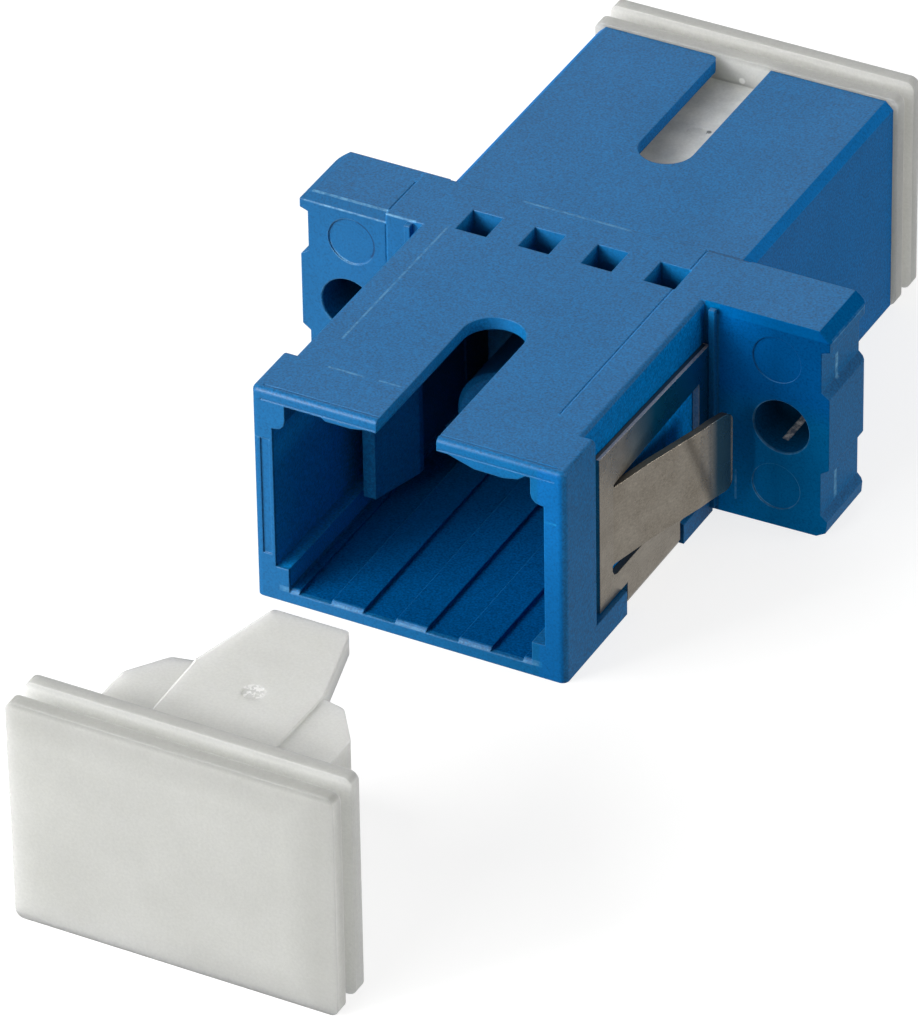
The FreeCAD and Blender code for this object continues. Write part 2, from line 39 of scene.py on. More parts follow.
# ------------------------------------------------------------------ node helpers
class Graph:
    """A small writer for shader node trees."""

    def __init__(self, name):
        self.mat = bpy.data.materials.new(name)
        self.mat.use_nodes = True
        self.tree = self.mat.node_tree
        self.tree.nodes.clear()
        self.out = self.node("ShaderNodeOutputMaterial")
        self.coord = self.node("ShaderNodeTexCoord").outputs["Object"]
        split = self.node("ShaderNodeSeparateXYZ")
        self.link(self.coord, split.inputs[0])
        self.x, self.y, self.z = split.outputs

    def node(self, kind, **props):
        n = self.tree.nodes.new(kind)
        for k, v in props.items():
            setattr(n, k, v)
        return n

    def link(self, a, b):
        self.tree.links.new(a, b)

    def put(self, value, socket):
        if isinstance(value, bpy.types.NodeSocket):
            self.link(value, socket)
        else:
            socket.default_value = value

    def math(self, op, a, b=0.0, c=0.0, clamp=False):
        n = self.node("ShaderNodeMath", operation=op, use_clamp=clamp)
        for i, v in enumerate((a, b, c)):
            self.put(v, n.inputs[i])
        return n.outputs[0]

    def noise(self, size_mm, detail=2.0, rough=0.5, stretch=(1, 1, 1), distort=0.0):
        m = self.node("ShaderNodeMapping")
        m.inputs["Scale"].default_value = stretch
        m.inputs["Location"].default_value = (0.0, 0.24 * size_mm * MM, 0.0)
        self.link(self.coord, m.inputs["Vector"])
        n = self.node("ShaderNodeTexNoise")
        n.inputs["Scale"].default_value = 1.0 / (size_mm * MM)
        n.inputs["Detail"].default_value = detail
        n.inputs["Roughness"].default_value = rough
        n.inputs["Distortion"].default_value = distort
        self.link(m.outputs[0], n.inputs["Vector"])
        return n.outputs["Fac"]

    def remap(self, v, a, b, c, d):
        n = self.node("ShaderNodeMapRange")
        self.put(v, n.inputs["Value"])
        for key, val in (("From Min", a), ("From Max", b), ("To Min", c), ("To Max", d)):
            n.inputs[key].default_value = val
        return n.outputs["Result"]

    def mix(self, fac, a, b):
        n = self.node("ShaderNodeMix", data_type="RGBA", blend_type="MIX")
        self.put(fac, n.inputs[0])
        for v, i in ((a, 6), (b, 7)):
            if isinstance(v, bpy.types.NodeSocket):
                self.link(v, n.inputs[i])
            else:
                n.inputs[i].default_value = (*v, 1.0)
        return n.outputs[2]

    def scale_colour(self, colour, fac):
        n = self.node("ShaderNodeVectorMath", operation="SCALE")
        self.link(colour, n.inputs[0])
        self.put(fac, n.inputs["Scale"])
        return n.outputs[0]

    def tinted(self, fac, colour, tint):
        """The colour multiplied by a tint where fac is 1."""
        n = self.node("ShaderNodeVectorMath", operation="MULTIPLY")
        self.link(colour, n.inputs[0])
        n.inputs[1].default_value = tint
        return self.mix(fac, colour, n.outputs[0])

    def band(self, axis, centre_mm, half_mm, soft_mm=0.03):
        """1 within half of the centre, fading to 0 over soft."""
        d = self.math("ABSOLUTE", self.math("SUBTRACT", axis, centre_mm * MM))
        return self.remap(d, (half_mm + soft_mm) * MM, half_mm * MM, 0.0, 1.0)

    def box(self, x=None, y=None, z=None, soft=0.03):
        """Product of bands; each argument is (low, high) in mm."""
        total = None
        for axis, span in ((self.x, x), (self.y, y), (self.z, z)):
            if span is None:
                continue
            b = self.band(axis, (span[0] + span[1]) / 2, (span[1] - span[0]) / 2, soft)
            total = b if total is None else self.math("MULTIPLY", total, b)
        return total

    def union(self, masks):
        total = masks[0]
        for m in masks[1:]:
            total = self.math("MAXIMUM", total, m)
        return total

    def away(self, a, ca, b, cb):
        """Distance from the line (ca, cb) mm in the plane of axes a and b."""
        da = self.math("SUBTRACT", a, ca * MM)
        db = self.math("SUBTRACT", b, cb * MM)
        return self.math("SQRT", self.math("ADD", self.math("MULTIPLY", da, da), self.math("MULTIPLY", db, db)))

    def ring(self, cx, cz, r, wide, soft=0.03):
        off = self.math("ABSOLUTE", self.math("SUBTRACT", self.away(self.x, cx, self.z, cz), r * MM))
        return self.remap(off, (wide + soft) * MM, wide * MM, 0.0, 1.0)

    def disc(self, cx, cz, r, soft=0.02):
        return self.remap(self.away(self.x, cx, self.z, cz), (r + soft) * MM, r * MM, 0.0, 1.0)

    def edges(self, radius_mm, samples=6):
        """The normal with its edges rounded off, and how much an edge bends it."""
        n = self.node("ShaderNodeBevel", samples=samples)
        n.inputs["Radius"].default_value = radius_mm * MM
        geo = self.node("ShaderNodeNewGeometry")
        dot = self.node("ShaderNodeVectorMath", operation="DOT_PRODUCT")
        self.link(n.outputs[0], dot.inputs[0])
        self.link(geo.outputs["Normal"], dot.inputs[1])
        return n.outputs[0], self.math("SUBTRACT", 1.0, dot.outputs["Value"], clamp=True)

    def bump(self, height, distance_mm, strength, normal=None):
        n = self.node("ShaderNodeBump")
        n.inputs["Strength"].default_value = strength
        n.inputs["Distance"].default_value = distance_mm * MM
        self.link(height, n.inputs["Height"])
        if normal is not None:
            self.link(normal, n.inputs["Normal"])
        return n.outputs[0]

    def surface(self, colour, rough, normal, **values):
        p = self.node("ShaderNodeBsdfPrincipled")
        self.put(colour, p.inputs["Base Color"])
        self.put(rough, p.inputs["Roughness"])
        self.link(normal, p.inputs["Normal"])
        for key, value in values.items():
            p.inputs[key.replace("_", " ")].default_value = value
        self.link(p.outputs[0], self.out.inputs["Surface"])
        return p


def product(g, *factors):
    total = factors[0]
    for f in factors[1:]:
        total = g.math("MULTIPLY", total, f)
    return total


def moulded_blue(name, tint, is_housing):
    g = Graph(name)
    sheen = None
    edge_normal, bend = g.edges(0.07)
    grain = g.noise(0.085, 2.0, 0.6)
    cloud = g.noise(2.6, 3.0, 0.55)
    flow = g.noise(7.0, 2.0, 0.5, stretch=(1.0, 0.35, 1.0))
    light = tuple(c * 1.05 for c in tint)
    dark = tuple(c * 0.95 for c in tint)
    colour = g.mix(g.remap(cloud, 0.3, 0.7, 0.0, 1.0), dark, light)
    colour = g.scale_colour(colour, g.remap(grain, 0.3, 0.7, 0.64, 1.38))
    # painted highlight: the colour is lightened toward pale blue where the bevel node rounds an edge
    painted_edge_highlight = g.remap(bend, 0.02, 0.3, 0.0, 0.30)
    colour = g.mix(painted_edge_highlight, colour, (0.06, 0.26, 0.56))
    if not is_housing:
        # painted shade: the latch core is darker where it lies deep in the housing, within 5.4 mm of y = 1.7 mm, and
        # a little lighter further out
        colour = g.scale_colour(colour, g.remap(g.math("ABSOLUTE", g.math("SUBTRACT", g.y, 1.7 * MM)),
                                                5.4 * MM, 6.3 * MM, 0.65, 1.1))
    if is_housing:
        # noise that breaks up the pale lines, the painted highlights and the painted glint below
        patchiness = g.remap(g.noise(0.35, 3.0, 0.7), 0.42, 0.62, 0.25, 1.0)
        top = (4.6, 4.8)
        # pale lines: mould witness and parting lines, and a painted highlight on the front lip
        lines = g.union([
            g.box((-4.97, -4.91), (-8.2, 0.3), top),
            g.box((-3.2, 1.4), (3.02, 3.1), top),
            g.box((7.28, 7.34), (-0.1, 0.1), (-3.85, -2.5)),
            g.box((-6.4, -5.75), (-12.5, -12.3), (2.46, 2.51)),
            g.box((5.5, 6.15), (-12.5, -12.3), (2.35, 2.40)),
            g.box((11.1, 11.3), (0.25, 3.0), (4.27, 4.35)),
            g.box((-4.5, -3.0), (-10.11, -10.03), top),
            # painted highlight along the top edge of the port's front lip
            g.box((-5.5, 5.5), (-12.5, -12.38), (-4.22, -4.0)),
            g.box((-2.4, -1.5), (-10.07, -10.01), top),
        ])
        # the parting line on the notch walls, drawn as painted highlights
        streaks = g.union([
            g.box((10.8, 11.0), (1.22, 1.36), (2.05, 3.05), 0.08),
            g.box((10.8, 11.0), (1.22, 1.36), (-3.4, -2.25), 0.08),
            g.box((-11.0, -10.8), (1.22, 1.36), (2.05, 3.05), 0.08),
            g.box((-11.0, -10.8), (1.22, 1.36), (-3.4, -2.25), 0.08),
        ])
        # painted highlights along the edges of the left flange's top front slope
        slope_edge_highlights = g.union([
            g.box((-11.0, -7.5), (-0.1, 0.05), (4.26, 4.31)),
            g.box((-11.0, -7.5), (0.17, 0.25), (4.66, 4.9)),
            g.box((-7.5, -6.2), (-0.05, 0.05), (4.64, 4.9)),
        ])
        face = g.band(g.y, 0.02, 0.06)
        # the hole and ejector-mark rims are real edges; their pale ring is a painted highlight
        rims = g.union([
            g.ring(9.2, 0.0, 1.17, 0.02), g.ring(-9.2, 0.0, 1.17, 0.02),
            g.ring(9.0, -2.76, 1.0, 0.01),
            g.math("MULTIPLY", g.ring(-9.0, 2.96, 1.0, 0.01), g.remap(g.x, -8.6 * MM, -8.9 * MM, 0.0, 1.0)),
            g.ring(-9.0, -2.76, 1.0, 0.01),
        ])
        rims = g.math("MULTIPLY", rims, face)
        # painted highlights on the lower-left arcs of two ejector marks
        arcs = g.union([
            g.math("MULTIPLY", g.ring(9.0, -2.76, 1.0, 0.03), g.box(x=(7.9, 8.6), z=(-3.8, -3.0), soft=0.2)),
            g.math("MULTIPLY", g.ring(-9.0, 2.96, 0.98, 0.03), g.box(x=(-10.1, -9.3), z=(1.9, 2.6), soft=0.2)),
        ])
        arcs = g.math("MULTIPLY", arcs, face)
        # painted shade: a dark arc at the upper right of the ejector mark on the left flange
        shade = product(g, g.ring(-9.0, 2.96, 0.97, 0.035), g.box(x=(-8.75, -7.9), z=(2.5, 4.1), soft=0.1), face)
        colour = g.mix(g.math("MULTIPLY", shade, 0.75), colour, (0.0, 0.03, 0.11))
        # the pale lines together with the painted highlights
        lines_and_painted_highlights = g.union([g.math("MULTIPLY", lines, 0.35), g.math("MULTIPLY", slope_edge_highlights, 0.6), g.math("MULTIPLY", streaks, 0.8),
                              g.math("MULTIPLY", rims, 0.25), g.math("MULTIPLY", arcs, 0.6)])
        # painted shade: the screw holes darken toward near black deeper in
        bores = g.math("MULTIPLY", g.union([g.disc(9.2, 0.0, 1.17), g.disc(-9.2, 0.0, 1.17)]),
                       g.band(g.y, 1.6, 1.45, 0.15))
        colour = g.mix(g.math("MULTIPLY", bores, g.remap(g.y, 0.3 * MM, 1.8 * MM, 0.25, 0.8)), colour, (0.0, 0.014, 0.03))
        seam = g.box((4.6, 6.3), (3.1, 3.2), top)
        colour = g.mix(g.math("MULTIPLY", seam, 0.5), colour, (0.0, 0.03, 0.09))
        colour = g.mix(g.math("MULTIPLY", lines_and_painted_highlights, patchiness), colour, (0.16, 0.42, 0.66))
        side = g.math("ABSOLUTE", g.x)
        # painted light on the rear housing's long chamfers, and painted shade on the right flange's end chamfer
        long_bevels = product(g, g.band(side, 6.22, 0.17, 0.03), g.band(g.z, 4.56, 0.17, 0.03),
                              g.remap(g.y, 3.1 * MM, 3.2 * MM, 0.0, 1.0))
        end_bevel = product(g, g.band(g.x, 10.98, 0.26, 0.03), g.band(g.z, 4.53, 0.21, 0.03))
        bevels = g.union([g.math("MULTIPLY", long_bevels, 0.8), end_bevel])
        colour = g.mix(g.math("MULTIPLY", end_bevel, 0.55), colour, (0.0, 0.085, 0.30))
        colour = g.scale_colour(colour, g.remap(long_bevels, 0.0, 1.0, 1.0, 1.42))
        # front faces get a stronger specular level toward the left, and the right flange's front face, which lies in
        # shade, gets almost none; the colour changes below paint light and shade on single faces
        turned = g.node("ShaderNodeSeparateXYZ")
        g.link(g.tree.nodes["Texture Coordinate"].outputs["Normal"], turned.inputs[0])
        fronts = g.remap(turned.outputs[1], -0.75, -0.9, 0.0, 1.0)
        gloss = g.remap(g.x, -6.0 * MM, 6.0 * MM, 0.60, 0.15)
        shaded_right_face = product(g, g.remap(g.x, 6.55 * MM, 6.65 * MM, 0.0, 1.0), g.band(g.y, 0.0, 0.4, 0.1), fronts)
        calm = g.remap(grain, 0.3, 0.7, 1.24, 0.84)
        quiet = g.union([fronts, long_bevels])
        calm = g.math("ADD", g.remap(quiet, 0.0, 1.0, 1.0, 0.0), g.math("MULTIPLY", quiet, calm))
        colour = g.scale_colour(colour, calm)
        gloss = g.math("MULTIPLY", gloss, g.remap(shaded_right_face, 0.0, 1.0, 1.0, 0.05))
        sides = g.remap(turned.outputs[0], 0.75, 0.9, 0.0, 1.0)
        waist = product(g, sides, g.band(g.x, 6.0, 0.1, 0.05), g.remap(g.y, 0.0, 0.05 * MM, 1.0, 0.0))
        behind = g.math("MULTIPLY", sides, g.remap(g.y, 3.2 * MM, 3.4 * MM, 0.0, 1.0))
        other = g.math("SUBTRACT", g.remap(sides, 0.0, 1.0, 0.34, 0.22), g.math("MULTIPLY", waist, 0.2))
        other = g.math("SUBTRACT", other, g.math("MULTIPLY", behind, 0.13))
        right_jamb = product(g, fronts, g.band(g.x, 6.0, 0.55, 0.1), g.band(g.y, -12.4, 0.3, 0.1))
        sheen = g.math("ADD", g.math("MULTIPLY", fronts, gloss),
                       g.math("MULTIPLY", g.remap(fronts, 0.0, 1.0, 1.0, 0.0), other))
        # painted light: faces turned to +X are lighter, the waist side more so
        colour = g.scale_colour(colour, g.remap(sides, 0.0, 1.0, 1.0, 1.1))
        colour = g.scale_colour(colour, g.remap(waist, 0.0, 1.0, 1.0, 1.2))
        # painted shade on the left flange's front face
        left_face = product(g, fronts, g.remap(g.x, -6.6 * MM, -6.4 * MM, 1.0, 0.0), g.remap(g.y, -1.0 * MM, -0.5 * MM, 0.0, 1.0))
        colour = g.tinted(left_face, colour, (1.0, 0.92, 0.92))
        # painted light and shade as tints: the long chamfers less red, the right flange's lower front face darker,
        # and the waist, rear sides and right jamb a deeper blue
        colour = g.tinted(long_bevels, colour, (0.5, 1.0, 1.12))
        colour = g.tinted(g.math("MULTIPLY", shaded_right_face, g.remap(g.z, 0.4 * MM, 1.4 * MM, 0.0, 1.0)), colour, (1.0, 0.85, 1.07))
        colour = g.tinted(waist, colour, (0.25, 1.0, 1.08))
        colour = g.tinted(behind, colour, (0.25, 1.06, 1.16))
        colour = g.tinted(right_jamb, colour, (0.2, 1.04, 1.18))
        # painted shadow gradient across the right flange's front face
        level = g.remap(g.z, -3.5 * MM, 3.5 * MM, 1.5, 0.58)
        level = g.math("MULTIPLY", level, g.remap(g.x, 7.2 * MM, 8.9 * MM, 1.5, 0.82))
        colour = g.scale_colour(colour, g.math("ADD", g.math("MULTIPLY", shaded_right_face, level),
                                               g.remap(shaded_right_face, 0.0, 1.0, 1.0, 0.0)))
        slope = g.box((-11.4, -7.5), (0.02, 0.2), (4.32, 4.78))
        floor_in = g.box((-5.0, 5.2), (-12.2, -0.3), (-4.5, -3.4), 0.05)
        rise = g.box((6.0, 11.3), (-0.02, 0.12), (4.34, 4.76))
        dull = g.union([bevels, bores, g.math("MULTIPLY", slope, 0.85), floor_in, rise])
        sheen = g.math("MULTIPLY", sheen, g.remap(dull, 0.0, 1.0, 1.0, 0.0))
        # painted shade: the left flange's slope, a strip at the top of the right flange's front, and the port's inner
        # floor are darker
        colour = g.scale_colour(colour, g.remap(slope, 0.0, 1.0, 1.0, 0.74))
        colour = g.mix(g.math("MULTIPLY", rise, 0.3), colour, (0.0, 0.10, 0.30))
        colour = g.scale_colour(colour, g.remap(floor_in, 0.0, 1.0, 1.0, 0.66))
        colour = g.tinted(floor_in, colour, (1.0, 0.97, 1.18))
        # painted light: the groove of the moulded line across the flange is lightened so it reads as shallow, and the
        # walls of the port are painted a little lighter
        colour = g.scale_colour(colour, g.remap(g.box((-7.53, -7.43), (-0.1, 3.3), (-4.0, 4.9)), 0.0, 1.0, 1.0, 1.25))
        # painted shade deep inside the housing behind the port
        upper = g.box((-5.6, 5.6), (-0.3, 3.3), (-1.0, 3.2), 0.1)
        colour = g.scale_colour(colour, g.remap(upper, 0.0, 1.0, 1.0, 0.35))
        # painted light in the channel between the left rib and the waist
        gap = g.box((-6.3, -6.0), (-0.35, 0.1), (-4.0, 4.9))
        colour = g.scale_colour(colour, g.remap(gap, 0.0, 1.0, 1.0, 1.15))
        # painted light on the port's left inner wall and ledge
        inside = g.union([g.box((-5.75, -5.0), (-12.3, -2.0), (-3.1, 3.4)), g.box((-5.75, -5.05), (-12.3, -2.0), (-4.0, -3.1))])
        colour = g.scale_colour(colour, g.remap(inside, 0.0, 1.0, 1.0, 1.6))
        colour = g.scale_colour(colour, g.remap(g.box((4.51, 4.61), (-9.1, 3.1), top, 0.02), 0.0, 1.0, 1.0, 1.42))
        # painted light on the housing where it shows through the clip window
        window = g.box((4.9, 6.1), (-3.2, -0.35), (-1.4, 1.3), 0.1)
        colour = g.scale_colour(colour, g.remap(window, 0.0, 1.0, 1.0, 1.45))
        # painted highlight: a pale streak along the wall of the right screw hole
        glint = g.box((8.9, 9.08), (0.85, 2.5), (-1.3, -1.0), 0.06)
        colour = g.mix(g.math("MULTIPLY", glint, patchiness), colour, (0.75, 0.72, 0.68))
    rough = g.remap(g.math("ADD", g.math("MULTIPLY", flow, 0.6), g.math("MULTIPLY", grain, 0.4)),
                    0.3, 0.7, 0.44, 0.56)
    normal = g.bump(grain, 0.012, 0.7, edge_normal)
    p = g.surface(colour, rough, normal, Specular_IOR_Level=0.34)
    if sheen is not None:
        g.link(sheen, p.inputs["Specular IOR Level"])
    return g.mat


def rolled_steel(name):
    g = Graph(name)
    edge_normal, bend = g.edges(0.035)
    grain = g.noise(0.09, 3.0, 0.7)
    rolled = g.noise(0.05, 2.0, 0.6, stretch=(1.0, 0.10, 1.0))
    stain = g.noise(1.4, 3.0, 0.6)
    colour = g.mix(g.remap(stain, 0.3, 0.7, 0.0, 1.0), (0.385, 0.335, 0.27), (0.50, 0.445, 0.37))
    colour = g.scale_colour(colour, g.remap(g.math("ADD", g.math("MULTIPLY", grain, 0.6),
                                                   g.math("MULTIPLY", rolled, 0.4)), 0.3, 0.7, 0.72, 1.26))
    # painted reflections of the blue housing: a dark band across each tab's bend, dark blue tab ends, and a blue
    # strip over each window
    side = g.math("ABSOLUTE", g.x)
    tab = g.remap(side, 6.9 * MM, 7.2 * MM, 0.0, 1.0)
    crease = g.math("ADD", g.y, g.math("MULTIPLY", g.z, 0.40))
    crease = g.remap(g.math("ABSOLUTE", g.math("SUBTRACT", crease, -3.53 * MM)), 0.38 * MM, 0.05 * MM, 0.0, 0.42)
    colour = g.scale_colour(colour, g.remap(g.math("MULTIPLY", crease, tab), 0.0, 1.0, 1.0, 0.0))
    tips = g.math("MULTIPLY", g.remap(side, 7.2 * MM, 7.5 * MM, 0.0, 1.0), g.remap(g.y, -3.05 * MM, -2.45 * MM, 0.0, 1.0))
    tips = g.math("MULTIPLY", tips, g.remap(g.y, -1.68 * MM, -1.78 * MM, 0.1, 1.0))
    strip = g.math("MULTIPLY", g.remap(side, 6.5 * MM, 6.4 * MM, 0.0, 1.0),
                   g.math("MULTIPLY", g.remap(g.z, 1.35 * MM, 1.65 * MM, 0.0, 1.0), g.remap(g.y, -7.4 * MM, -4.7 * MM, 0.0, 1.0)))
    post = product(g, g.remap(side, 6.5 * MM, 6.4 * MM, 0.0, 1.0), g.remap(g.y, -1.1 * MM, -1.0 * MM, 0.0, 1.0),
                   g.remap(g.z, -2.4 * MM, -1.2 * MM, 0.0, 1.0))
    strip = g.math("MAXIMUM", strip, post)
    colour = g.mix(g.math("MULTIPLY", tips, 0.96), colour, (0.005, 0.07, 0.125))
    colour = g.mix(strip, colour, (0.004, 0.24, 0.40))
    # sheared edges are dull
    cut = g.node("ShaderNodeSeparateXYZ")
    g.link(g.tree.nodes["Texture Coordinate"].outputs["Normal"], cut.inputs[0])
    sheared = g.remap(g.math("ABSOLUTE", cut.outputs[2]), 0.6, 0.8, 0.0, 1.0)
    colour = g.mix(g.math("MULTIPLY", sheared, 0.75), colour, (0.10, 0.095, 0.085))
    # painted highlight along the cut edges of the plates
    cut_edge_highlight = g.union([
        product(g, sheared, g.band(side, 6.25, 0.07, 0.02), g.remap(g.z, 2.7 * MM, 2.8 * MM, 0.0, 1.0)),
        product(g, g.remap(side, 6.5 * MM, 6.4 * MM, 0.0, 1.0), g.band(g.y, -0.15, 0.07, 0.02)),
        product(g, g.remap(side, 6.5 * MM, 6.4 * MM, 0.0, 1.0), g.remap(cut.outputs[1], -0.6, -0.8, 0.0, 1.0),
                g.band(g.y, -1.05, 0.2, 0.05)),
    ])
    colour = g.mix(g.math("MULTIPLY", cut_edge_highlight, g.remap(grain, 0.3, 0.6, 0.6, 1.0)), colour, (0.80, 0.72, 0.68))
    rough = g.math("ADD", g.remap(stain, 0.3, 0.7, 0.24, 0.32), g.math("MULTIPLY", g.math("MAXIMUM", sheared, cut_edge_highlight), 0.3))
    normal = g.bump(grain, 0.010, 0.7, g.bump(rolled, 0.008, 0.4, edge_normal))
    g.surface(colour, rough, normal, Metallic=0.92)
    return g.mat


def milky_plastic(name, dim, zones, scars):
    """Half-clear moulding: its plates pass light on; a faint painted glow (emission) on its plug and gaps stands in
    for light passing through.
    """
    g = Graph(name)
    edge_normal, bend = g.edges(0.1)
    grain = g.noise(0.11, 2.0, 0.6)
    cloud = g.noise(3.2, 3.0, 0.6)
    low, high = (0.745, 0.75, 0.725), (0.80, 0.805, 0.78)
    colour = g.mix(g.remap(cloud, 0.3, 0.7, 0.0, 1.0), tuple(c * dim for c in low), tuple(c * dim for c in high))
    colour = g.scale_colour(colour, g.remap(grain, 0.3, 0.7, 0.96, 1.04))
    g.bend = bend
    shade, clear, glow, glow_colour = zones(g)
    colour = scars(g, g.scale_colour(colour, shade))
    rough = g.remap(cloud, 0.3, 0.7, 0.40, 0.52)
    normal = g.bump(grain, 0.008, 0.35, edge_normal)
    p = g.surface(colour, rough, normal, Specular_IOR_Level=0.14, Subsurface_Weight=1.0, Subsurface_Scale=0.0022)
    p.inputs["Subsurface Radius"].default_value = (1.0, 1.0, 0.95)
    p.inputs["Emission Color"].default_value = (*glow_colour, 1.0)
    g.link(glow, p.inputs["Emission Strength"])
    through = g.node("ShaderNodeBsdfTranslucent")
    g.link(colour, through.inputs["Color"])
    g.link(normal, through.inputs["Normal"])
    both = g.node("ShaderNodeMixShader")
    g.link(clear, both.inputs[0])
    g.link(p.outputs[0], both.inputs[1])
    g.link(through.outputs[0], both.inputs[2])
    g.link(both.outputs[0], g.out.inputs["Surface"])
    return g.mat


def loose_cap_zones(g):
    """Shade, clearness and glow along the loose cap: outer plate, gap, inner plate, plug."""
    outer = g.remap(g.y, -33.1 * MM, -33.2 * MM, 0.0, 1.0)
    plates = g.remap(g.y, -31.75 * MM, -31.85 * MM, 0.0, 1.0)
    right = g.remap(g.x, 6.3 * MM, 7.7 * MM, 0.0, 1.0)
    top = g.remap(g.z, 3.2 * MM, 4.3 * MM, 0.0, 0.75)
    below = product(g, g.remap(g.z, -3.3 * MM, -4.4 * MM, 0.0, 0.7), g.remap(g.x, -1.0 * MM, 3.0 * MM, 0.0, 1.0))
    # painted shade: the outer plate darkens toward its right, top and lower edges
    dark = product(g, g.union([right, top, below]), outer)
    rims = product(g, g.remap(g.z, 4.55 * MM, 4.72 * MM, 0.0, 1.0), plates)
    left = g.math("MULTIPLY", rims, g.remap(g.x, -7.5 * MM, -4.0 * MM, 1.0, 0.0))
    turned = g.node("ShaderNodeSeparateXYZ")
    g.link(g.tree.nodes["Texture Coordinate"].outputs["Normal"], turned.inputs[0])
    ends = g.math("MULTIPLY", g.remap(turned.outputs[0], 0.8, 0.95, 0.0, 1.0), plates)
    flank = product(g, g.remap(g.bend, 0.01, 0.12, 0.0, 1.0), g.remap(g.z, 2.9 * MM, 3.2 * MM, 0.0, 1.0),
                    g.remap(g.x, 1.0 * MM, 0.5 * MM, 0.0, 1.0), g.remap(g.y, -31.7 * MM, -31.6 * MM, 0.0, 1.0))
    gap = g.band(g.y, -32.75, 0.40, 0.05)
    inner = product(g, g.band(g.y, -32.07, 0.30, 0.05), g.remap(g.z, 4.5 * MM, 4.3 * MM, 0.0, 1.0))
    # painted light and shade: rims darker, the top-left rim more so, gap and inner plate lighter, plug lighter than
    # plates, plate ends lighter, the tongue's left edge darker
    shade = product(g, g.remap(dark, 0.0, 1.0, 1.0, 0.83), g.remap(rims, 0.0, 1.0, 1.0, 0.76),
                    g.remap(g.union([gap, g.math("MULTIPLY", inner, 0.3)]), 0.0, 1.0, 1.0, 1.16), g.remap(plates, 0.0, 1.0, 1.05, 0.95),
                    g.remap(ends, 0.0, 1.0, 1.0, 1.26), g.remap(flank, 0.0, 1.0, 1.0, 0.72), g.remap(left, 0.0, 1.0, 1.0, 0.74))
    # painted shade on the tongue's top
    tongue = product(g, g.remap(g.z, 3.3 * MM, 3.5 * MM, 0.0, 1.0), g.remap(g.y, -29.0 * MM, -26.0 * MM, 0.0, 1.0))
    shade = g.math("MULTIPLY", shade, g.remap(tongue, 0.0, 1.0, 1.0, 0.87))
    clear = g.remap(plates, 0.0, 1.0, 0.05, 0.34)
    # painted glow in the gap and on the inner plate
    glow = g.union([g.math("MULTIPLY", gap, 0.10), g.math("MULTIPLY", inner, 0.03)])
    return shade, clear, glow, (0.98, 0.985, 0.96)


def seated_cap_zones(g):
    plates = g.remap(g.y, 15.55 * MM, 15.6 * MM, 0.0, 1.0)
    rims = product(g, g.remap(g.z, 4.55 * MM, 4.72 * MM, 0.0, 1.0), plates)
    gap = g.band(g.y, 16.55, 0.40, 0.05)
    plug = g.remap(g.y, 15.56 * MM, 15.5 * MM, 0.0, 1.0)
    # painted light and shade on the seated cap: darker rims, a lighter gap and a much lighter plug
    shade = product(g, g.remap(rims, 0.0, 1.0, 1.0, 0.80), g.remap(gap, 0.0, 1.0, 1.0, 1.25),
                    g.remap(plug, 0.0, 1.0, 1.0, 1.38))
    clear = g.remap(plates, 0.0, 1.0, 0.0, 0.34)
    patch = g.remap(g.noise(0.9, 3.0, 0.65), 0.42, 0.62, 0.55, 1.3)
    # patchy painted light over the plug
    shade = g.math("MULTIPLY", shade, g.remap(g.math("MULTIPLY", plug, g.noise(0.7, 3.0, 0.7)), 0.0, 0.7, 1.12, 0.86))
    # warm painted glow on the plug, in patches, and in the gap
    glow = g.union([product(g, plug, patch, 0.062), g.math("MULTIPLY", gap, 0.07)])
    return shade, clear, glow, (1.0, 0.95, 0.84)


def loose_cap_scars(g, colour):
    top = g.band(g.z, 3.6, 0.12)
    spot = g.remap(g.away(g.x, 2.09, g.y, -27.95), 0.5 * MM, 0.36 * MM, 0.0, 1.0)
    flecks = g.remap(g.noise(0.22, 2.0, 0.7), 0.5, 0.58, 0.0, 1.0)
    return g.mix(g.math("MULTIPLY", g.math("MULTIPLY", spot, top), g.math("MULTIPLY", flecks, 0.8)), colour, (0.98, 0.98, 0.96))


def seated_cap_scars(g, colour):
    notch = g.math("MULTIPLY", g.remap(g.away(g.x, 0.21, g.y, 12.0), 0.13 * MM, 0.08 * MM, 0.0, 1.0), g.band(g.z, 3.6, 0.12))
    fleck = g.math("MULTIPLY", g.remap(g.away(g.x, -0.15, g.z, 3.83), 0.16 * MM, 0.1 * MM, 0.0, 1.0), g.band(g.y, 15.6, 0.1))
    colour = g.mix(g.math("MULTIPLY", notch, 0.85), colour, (0.03, 0.05, 0.06))
    return g.mix(g.math("MULTIPLY", fleck, 0.8), colour, (0.95, 0.95, 0.93))


def ground_ceramic(name):
    g = Graph(name)
    edge_normal, bend = g.edges(0.04)
    rings = g.noise(0.08, 2.0, 0.6, stretch=(1.0, 6.0, 1.0))
    cloud = g.noise(1.0, 2.0, 0.5)
    colour = g.mix(cloud, (0.80, 0.79, 0.74), (0.88, 0.87, 0.83))
    g.surface(colour, g.remap(rings, 0.3, 0.7, 0.16, 0.3), g.bump(rings, 0.004, 0.3, edge_normal),
              Specular_IOR_Level=0.6)
    return g.mat


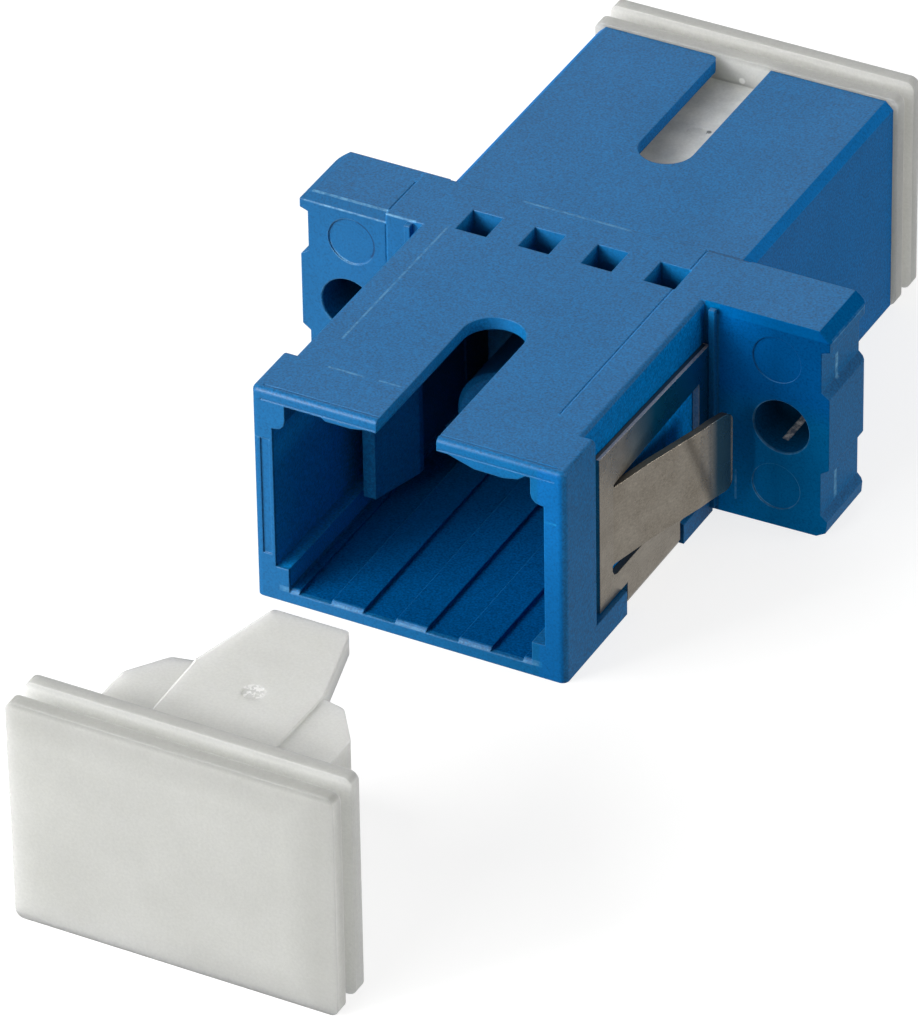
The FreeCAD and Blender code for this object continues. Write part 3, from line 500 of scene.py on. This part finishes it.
finishes = {
    "front_housing": moulded_blue("housing_blue", (0.0, 0.112, 0.302), True),
    "front_latch_core": moulded_blue("core_blue", (0.0, 0.104, 0.275), False),
    "mounting_clip": rolled_steel("clip_steel"),
    "front_dust_cap": milky_plastic("cap_milky", 0.85, loose_cap_zones, loose_cap_scars),
    # the seated rear cap is a darker copy of the same milky plastic: painted shade
    "rear_dust_cap": milky_plastic("cap_milky_seated", 0.69, seated_cap_zones, seated_cap_scars),
    "split_sleeve": ground_ceramic("sleeve_ceramic"),
}
finishes["rear_housing"] = finishes["front_housing"]
finishes["rear_latch_core"] = finishes["front_latch_core"]
for node, mat in finishes.items():
    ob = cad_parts[node]
    for s in ob.material_slots:
        s.material = mat

# ------------------------------------------------------------------ studio
floor_z = cad_low[2]
bpy.ops.mesh.primitive_plane_add(size=3.0, location=(0, 0, floor_z))
floor = bpy.context.object
floor.name = "floor"
g = Graph("floor_white")
tone = g.noise(60.0, 2.0, 0.5)
paper = g.surface(g.mix(tone, (0.285, 0.285, 0.283), (0.305, 0.305, 0.303)), 0.8, g.bump(tone, 0.2, 0.1),
                  Specular_IOR_Level=0.1)
paper.inputs["Emission Color"].default_value = (1.0, 1.0, 1.0, 1.0)
paper.inputs["Emission Strength"].default_value = 0.79
floor.data.materials.append(g.mat)
floor.visible_diffuse = False
floor.visible_glossy = False

world = bpy.data.worlds.new("studio")
scene.world = world
world.use_nodes = True
sky = world.node_tree
back = sky.nodes["Background"]
back.inputs["Color"].default_value = (0.97, 0.985, 1.0, 1.0)
# a dim room; the white table top is lit below the object and behind it to the right
way = sky.nodes.new("ShaderNodeTexCoord")


def lobe(direction, start, stop, strength):
    dot = sky.nodes.new("ShaderNodeVectorMath")
    dot.operation = "DOT_PRODUCT"
    dot.inputs[1].default_value = direction
    sky.links.new(way.outputs["Generated"], dot.inputs[0])
    ramp = sky.nodes.new("ShaderNodeMapRange")
    ramp.interpolation_type = "SMOOTHSTEP"
    for key, val in (("From Min", start), ("From Max", stop), ("To Min", 0.0), ("To Max", strength)):
        ramp.inputs[key].default_value = val
    sky.links.new(dot.outputs["Value"], ramp.inputs["Value"])
    return ramp.outputs["Result"]


level = None
for part in (lobe((0.388, 0.721, -0.574), 0.2, 0.95, 0.24), lobe((0.0, 0.0, -1.0), 0.72, 0.95, 0.45)):
    add = sky.nodes.new("ShaderNodeMath")
    add.operation = "ADD"
    add.inputs[1].default_value = 0.19
    sky.links.new(part, add.inputs[0])
    if level is not None:
        sky.links.new(level, add.inputs[1])
    level = add.outputs[0]
sky.links.new(level, back.inputs["Strength"])


def softbox(name, place, aim, size, watts, colour=(1, 1, 1)):
    data = bpy.data.lights.new(name, "AREA")
    data.shape = "RECTANGLE"
    data.size, data.size_y = size
    data.energy = watts
    data.color = colour
    ob = bpy.data.objects.new(name, data)
    scene.collection.objects.link(ob)
    ob.location = place
    ob.rotation_euler = (Vector(aim) - Vector(place)).to_track_quat("-Z", "Y").to_euler()
    return ob


centre = (0.0, -0.004, 0.0)
softbox("key", (-0.30, -0.29, 0.21), centre, (0.26, 0.26), 2.4, (1.0, 0.99, 0.97))
softbox("front", (-0.15, -0.48, 0.18), centre, (0.30, 0.20), 2.0)
softbox("back", (-0.24, 0.45, 0.36), centre, (0.55, 0.45), 0.85)
softbox("side", (0.46, 0.12, 0.14), centre, (0.26, 0.20), 0.95, (1.0, 0.98, 0.95))

# ------------------------------------------------------------------ camera
cam_data = bpy.data.cameras.new("camera")
cam_data.sensor_width = 36.0
cam_data.lens = 330.97
cam_data.clip_start = 0.01
cam_data.clip_end = 10.0
camera = bpy.data.objects.new("camera", cam_data)
scene.collection.objects.link(camera)
right = Vector((0.88528485, 0.46483707, -0.01404438))
up = Vector((-0.25656348, 0.51336905, 0.81891843))
away = Vector((0.38787359, -0.72137280, 0.57373806))
turn = Matrix((right, up, away)).transposed().to_4x4()
camera.matrix_world = Matrix.Translation((0.13577692, -0.26098108, 0.19943351)) @ turn
scene.camera = camera
